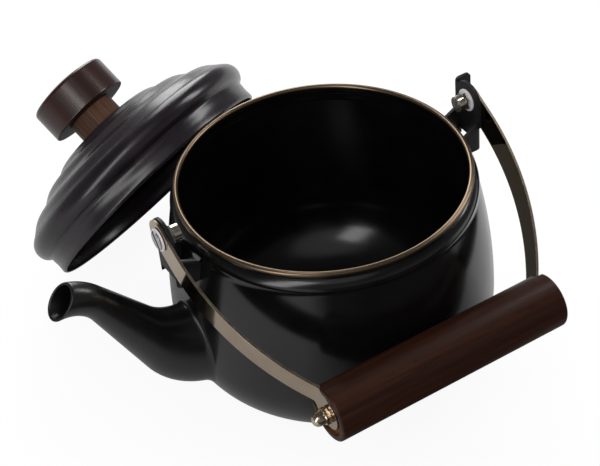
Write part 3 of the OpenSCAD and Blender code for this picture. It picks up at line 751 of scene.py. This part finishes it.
# Folded brackets and fasteners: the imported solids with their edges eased
def eased(node, material, ease, name):
    """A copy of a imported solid, merged, with its edges eased by a small bevel."""
    shape = bmesh.new()
    shape.from_mesh(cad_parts[node].data)
    bmesh.ops.remove_doubles(shape, verts=shape.verts, dist=2 * MERGE)
    bmesh.ops.dissolve_limit(shape, angle_limit=radians(0.4), verts=shape.verts, edges=shape.edges)
    shape.verts.index_update()
    mesh = bpy.data.meshes.new(name)
    mesh.from_pydata([v.co.copy() for v in shape.verts], [],
                     [[v.index for v in f.verts] for f in shape.faces])
    shape.free()
    piece = new_object(name, mesh)
    edges_by_angle(piece, CRISP)
    soften = piece.modifiers.new("eased edges", "BEVEL")
    soften.width = ease * MM
    soften.segments = 2
    soften.limit_method = "ANGLE"
    soften.angle_limit = radians(CRISP)
    soften.harden_normals = True
    bake(piece)
    piece.data.materials.append(material)
    return piece


def slotted_bolt(word):
    """A pivot bolt with painted shade in the slot of its head."""
    made = eased(word + "_pivot_bolt", zinc, 0.15, word + "_slotted_bolt")
    low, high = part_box(word + "_pivot_bolt")
    head = max(-low[0], high[0])

    def in_slot(face):
        depth = head - abs(face.center[0])
        off = hypot(face.center[1], face.center[2] - PIVOT_Z * MM)
        return SLOT_SKIN * MM < depth < SLOT_DEPTH * MM and off < SLOT_REACH * MM

    # the slot's faces take the dark paint: painted shade in the slot
    second_finish(made, slot_shade, in_slot)
    return made


def finished(piece, body, slot, *nodes):
    """Rides on the body and stands for the nodes; slot is not used."""
    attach(piece, body)
    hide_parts(*nodes)


finished(pot, "pot", "enamel", "pot_body")
finished(rim, "pot", "rim_brass", "rim_band")
finished(spout, "pot", "enamel", "spout")
finished(lid, "lid", "enamel", "lid_shell")
finished(neck, "lid", "neck_wood", "knob_neck")
finished(knob, "lid", "dark_wood", "knob_disc")
finished(grip, "handle", "dark_wood", "grip")
finished(front_strap, "handle", "bronzed_brass", "front_strap")
finished(rear_strap, "handle", "bronzed_brass", "rear_strap")
for word, end in (("front", -1), ("rear", 1)):
    finished(washer(word + "_head_washer", OUTER_X, end), "pot", "nylon", word + "_outer_washer")
    finished(washer(word + "_nut_washer", INNER_X, end), "pot", "nylon", word + "_inner_washer")
    finished(eased(word + "_ear", satin_enamel, 0.3, word + "_bracket"), "pot", "enamel",
             word + "_ear")
    finished(slotted_bolt(word), "pot", "nickel", word + "_pivot_bolt")
    finished(eased(word + "_lock_nut", nickel, 0.25, word + "_collar_nut"), "pot", "nickel",
             word + "_lock_nut")
    finished(cap_nut(word + "_domed_nut", end), "handle", "cap_brass", word + "_cap_nut")
finished(eased("grip_rod", nickel, 0.2, "grip_tie_rod"), "handle", "nickel", "grip_rod")
finished(eased("knob_washer", nickel, 0.15, "knob_plain_washer"), "lid", "nickel", "knob_washer")
finished(eased("knob_screw", nickel, 0.2, "knob_slotted_screw"), "lid", "nickel", "knob_screw")


# Stage: pale floor, white surround, soft light, and a dark flag that only reflections see
def stage_sheet(name, corners, material):
    """A flat sheet of the stage."""
    mesh = bpy.data.meshes.new(name)
    mesh.from_pydata([Vector(c) * MM for c in corners], [], [tuple(range(len(corners)))])
    made = new_object(name, mesh)
    made.data.materials.append(material)
    return made


def bare_tree(owner):
    """The emptied node tree of a material or world."""
    owner.use_nodes = True
    owner.node_tree.nodes.clear()
    return owner.node_tree


def ray_kinds(tree):
    """Tells the rays that look straight or through glass, and the mirrored ones."""
    path = add(tree, "ShaderNodeLightPath").outputs
    straight = add(tree, "ShaderNodeMath",
                   {0: path["Is Camera Ray"], 1: path["Is Transmission Ray"]}, operation="MAXIMUM")
    return straight.outputs[0], path["Is Glossy Ray"]


floor_paint = bpy.data.materials.new("pale floor")
tree = bare_tree(floor_paint)
straight, mirrored = ray_kinds(tree)
pale = add(tree, "ShaderNodeMix", {0: straight, 6: linear("#c4c4c4"), 7: linear("#f6f6f6")},
           data_type="RGBA")
matt = add(tree, "ShaderNodeBsdfDiffuse", {"Color": pale.outputs[2]})
glow = add(tree, "ShaderNodeEmission", {"Color": linear("#ffffff"), "Strength": 1.0})
# the share left to the paint keeps the shadow
seen = add(tree, "ShaderNodeMath", {0: straight, 1: 0.92}, operation="MULTIPLY")
# what the pot mirrors of the floor is lighter towards the right
place = add(tree, "ShaderNodeTexCoord").outputs["Object"]
away = add(tree, "ShaderNodeVectorMath", {0: place, 1: (0.9, 0.4, 0.0)}, operation="DOT_PRODUCT")
glare = add(tree, "ShaderNodeMapRange", {"Value": away.outputs["Value"], "From Min": 60 * MM,
                                         "From Max": 240 * MM, "To Min": 0.1, "To Max": 0.95})
bright = add(tree, "ShaderNodeMath", {0: mirrored, 1: glare.outputs[0], 2: seen.outputs[0]},
             operation="MULTIPLY_ADD")
blend = add(tree, "ShaderNodeMixShader",
            {0: bright.outputs[0], 1: matt.outputs[0], 2: glow.outputs[0]})
add(tree, "ShaderNodeOutputMaterial", {"Surface": blend.outputs[0]})
stage_sheet("floor", [(-3000, -3000, 0), (3000, -3000, 0), (3000, 3000, 0), (-3000, 3000, 0)],
            floor_paint)

# the flag lies on the floor before the pot and fades out towards both sides
flag_cloth = bpy.data.materials.new("black flag")
tree = bare_tree(flag_cloth)
place = add(tree, "ShaderNodeTexCoord").outputs["Object"]
sides = [add(tree, "ShaderNodeVectorMath", {0: place, 1: way}, operation="DOT_PRODUCT")
         for way in ((1.1, -1.0, 0.0), (-0.65, -1.0, 0.0))]
inside = add(tree, "ShaderNodeMath",
             {0: sides[0].outputs["Value"], 1: sides[1].outputs["Value"]}, operation="MINIMUM")
share = add(tree, "ShaderNodeMapRange",
            {"Value": inside.outputs[0], "From Min": -20 * MM, "From Max": 90 * MM})
black = add(tree, "ShaderNodeBsdfDiffuse", {"Color": linear("#3c3c3c")})
clear = add(tree, "ShaderNodeBsdfTransparent", {"Color": linear("#ffffff")})
blend = add(tree, "ShaderNodeMixShader",
            {0: share.outputs[0], 1: clear.outputs[0], 2: black.outputs[0]})
add(tree, "ShaderNodeOutputMaterial", {"Surface": blend.outputs[0]})
flag = stage_sheet(
    "front_flag", [(-1200, 100, 1), (-1200, -1500, 1), (1500, -1500, 1), (1500, 100, 1)],
    flag_cloth)
for sight in ("visible_camera", "visible_diffuse", "visible_shadow", "visible_transmission"):
    setattr(flag, sight, False)

world = bpy.data.worlds.new("white surround")
bpy.context.scene.world = world
tree = bare_tree(world)
straight, mirrored = ray_kinds(tree)
ahead = add(tree, "ShaderNodeTexCoord").outputs["Generated"]
height = add(tree, "ShaderNodeSeparateXYZ", {0: ahead})
sky = add(tree, "ShaderNodeMapRange", {"Value": height.outputs[2], "To Min": 0.25, "To Max": 0.9})
soft = add(tree, "ShaderNodeBackground", {"Color": linear("#ffffff"), "Strength": sky.outputs[0]})
# reflections see a dim room that is darker higher up, and a pale ceiling above the near side
walls = add(tree, "ShaderNodeMapRange", {"Value": height.outputs[2], "From Min": 0.3,
                                         "From Max": 0.65, "To Min": 0.2, "To Max": 0.07})
above = add(tree, "ShaderNodeVectorMath", {0: ahead, 1: (-0.235, -0.441, 0.866)},
            operation="DOT_PRODUCT")
room = add(tree, "ShaderNodeMapRange", {"Value": above.outputs["Value"], "From Min": 0.91,
                                        "From Max": 0.965, "To Min": walls.outputs[0],
                                        "To Max": 0.5})
dim = add(tree, "ShaderNodeBackground", {"Color": linear("#ffffff"), "Strength": room.outputs[0]})
backdrop = add(tree, "ShaderNodeBackground", {"Color": linear("#ffffff"), "Strength": 1.0})
unseen = add(tree, "ShaderNodeMixShader", {0: mirrored, 1: soft.outputs[0], 2: dim.outputs[0]})
both = add(tree, "ShaderNodeMixShader",
           {0: straight, 1: unseen.outputs[0], 2: backdrop.outputs[0]})
add(tree, "ShaderNodeOutputWorld", {"Surface": both.outputs[0]})


def softbox(name, place, aim, width, height, watts):
    """An area lamp in metres, aimed at a point."""
    lamp = bpy.data.lights.new(name, "AREA")
    lamp.shape = "RECTANGLE"
    lamp.size, lamp.size_y, lamp.energy = width, height, watts
    made = new_object(name, lamp)
    made.location = place
    made.rotation_euler = (Vector(aim) - Vector(place)).to_track_quat("-Z", "Y").to_euler()


softbox("left", (-0.43, -0.25, 0.36), (0.06, -0.2, 0.1), 0.16, 0.66, 1.55)
softbox("right", (0.34, -0.01, 0.39), (-0.02, 0.08, 0.12), 0.11, 0.22, 0.66)
softbox("back", (0.13, 0.5, 0.38), (-0.045, 0.08, 0.12), 0.26, 0.46, 2.1)

# Camera, fitted to the photograph
camera = bpy.data.cameras.new("camera")
camera.sensor_width = 36
camera.lens = 99.06
camera.clip_end = 20
shot = new_object("camera", camera)
right, up = (0.84611, -0.52731, -0.07773), (0.39688, 0.52595, 0.75224)
back = (-0.35578, -0.66733, 0.65429)
stand = Matrix.Translation((-0.29725, -0.52872, 0.59964))
shot.matrix_world = stand @ Matrix((right, up, back)).transposed().to_4x4()
bpy.context.scene.camera = shot
bpy.context.scene.view_settings.view_transform = "Standard"
